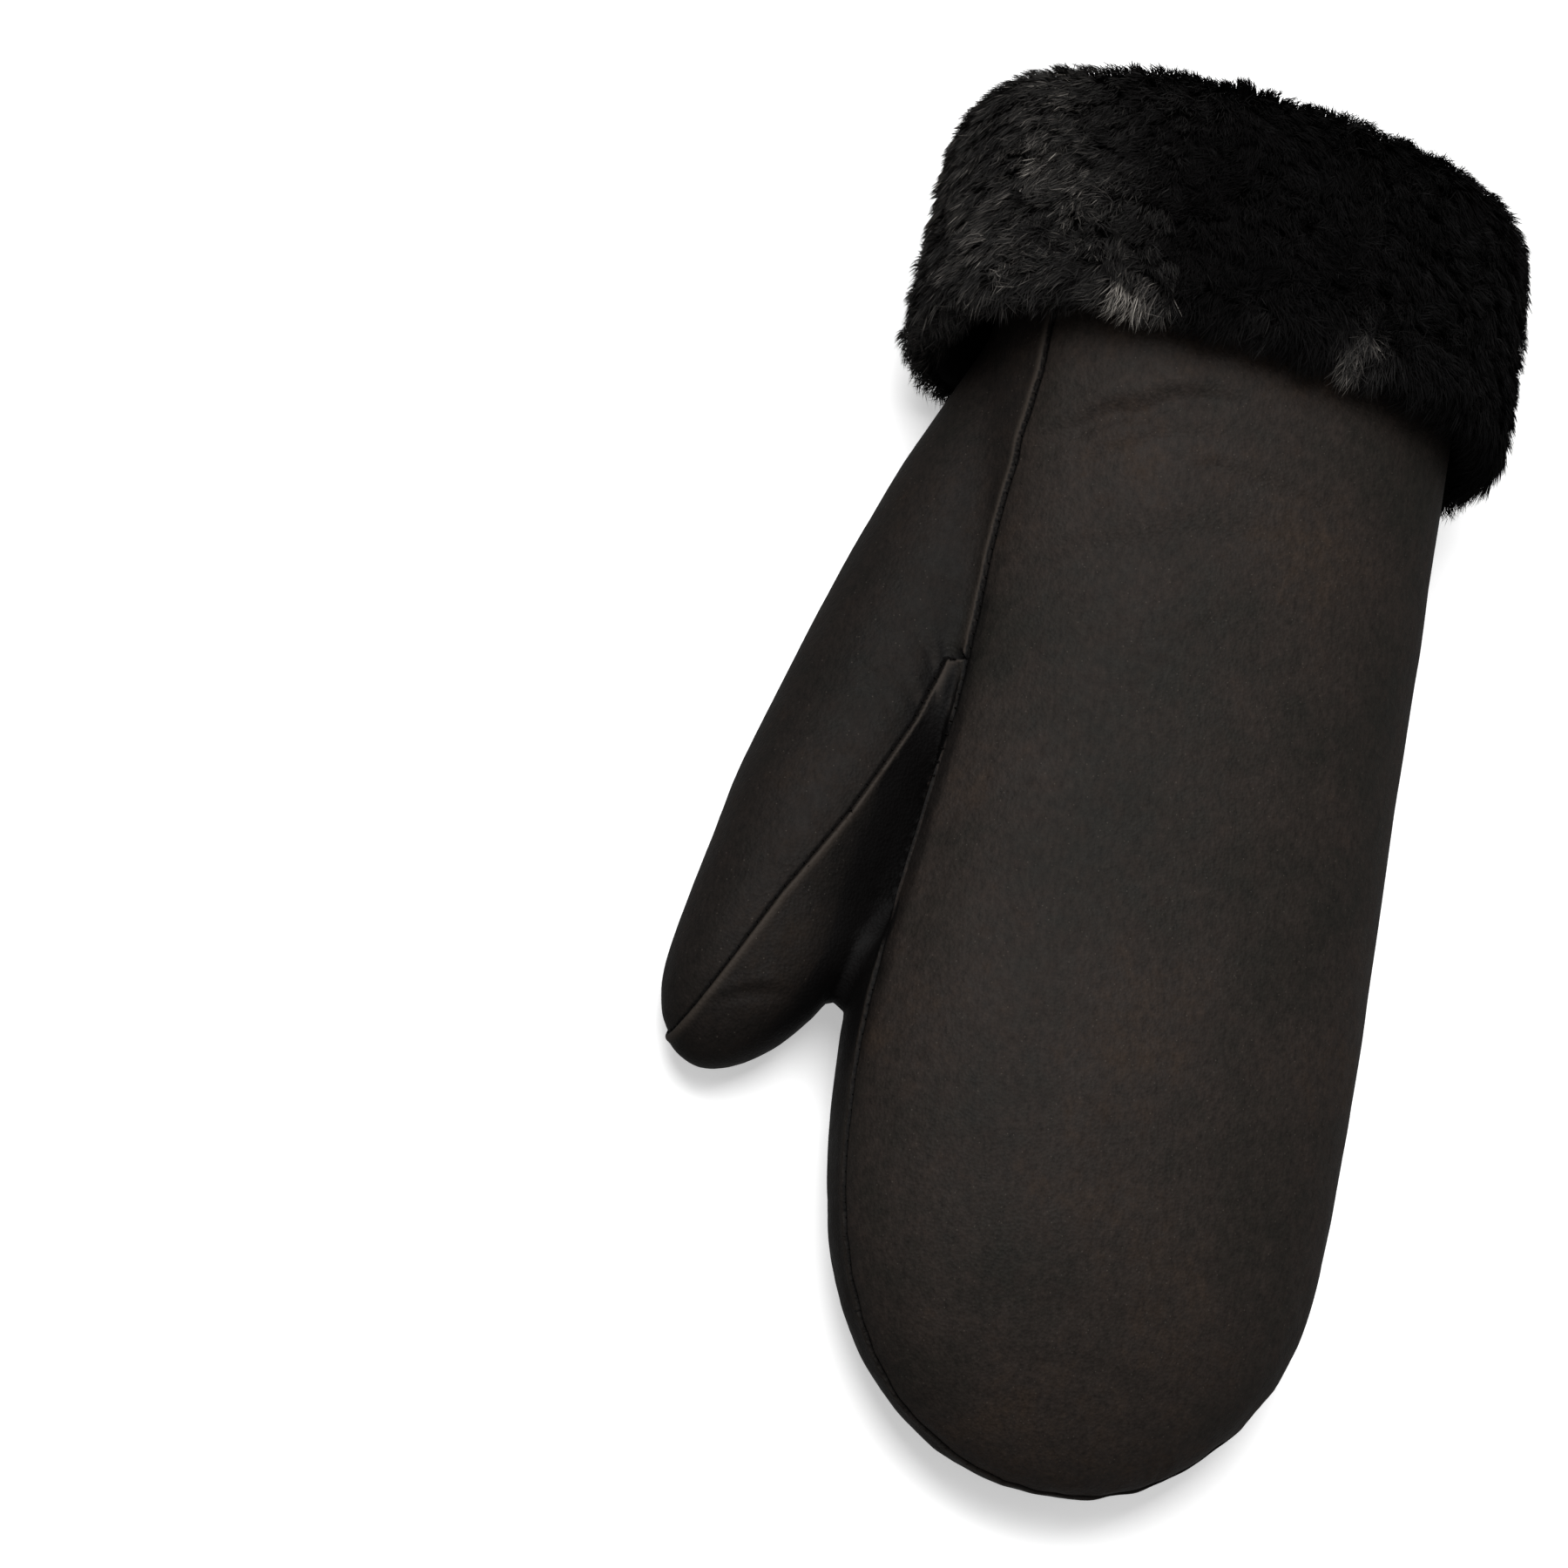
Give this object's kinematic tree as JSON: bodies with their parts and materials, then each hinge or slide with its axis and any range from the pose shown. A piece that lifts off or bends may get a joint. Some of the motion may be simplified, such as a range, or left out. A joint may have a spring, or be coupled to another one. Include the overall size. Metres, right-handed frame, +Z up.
{
  "type": "leather mitten",
  "caption": "Left-hand sheepskin mitten, leather outside and wool inside, lying palm down, with a sewn thumb and its mouth turned up as a deep wool cuff.",
  "frame": {"origin": "on the floor, below the middle of the whole mitten's box", "axes": "+Y from the fingertips to the mouth, +Z up out of the back of the hand, the thumb on the -X side"},
  "size_m": [0.1536, 0.2806, 0.0808],
  "materials": {
    "leather": "matt brown-black nappa finish on sheepskin, with fine grain and soft creases",
    "wool": "plush black sheared wool with grey-brown tips"
  },
  "bodies": {
    "root": {"back_panel": "leather", "finger_palm_panel": "leather", "wrist_palm_panel": "leather", "cuff": "wool"}
  },
  "joints": []
}
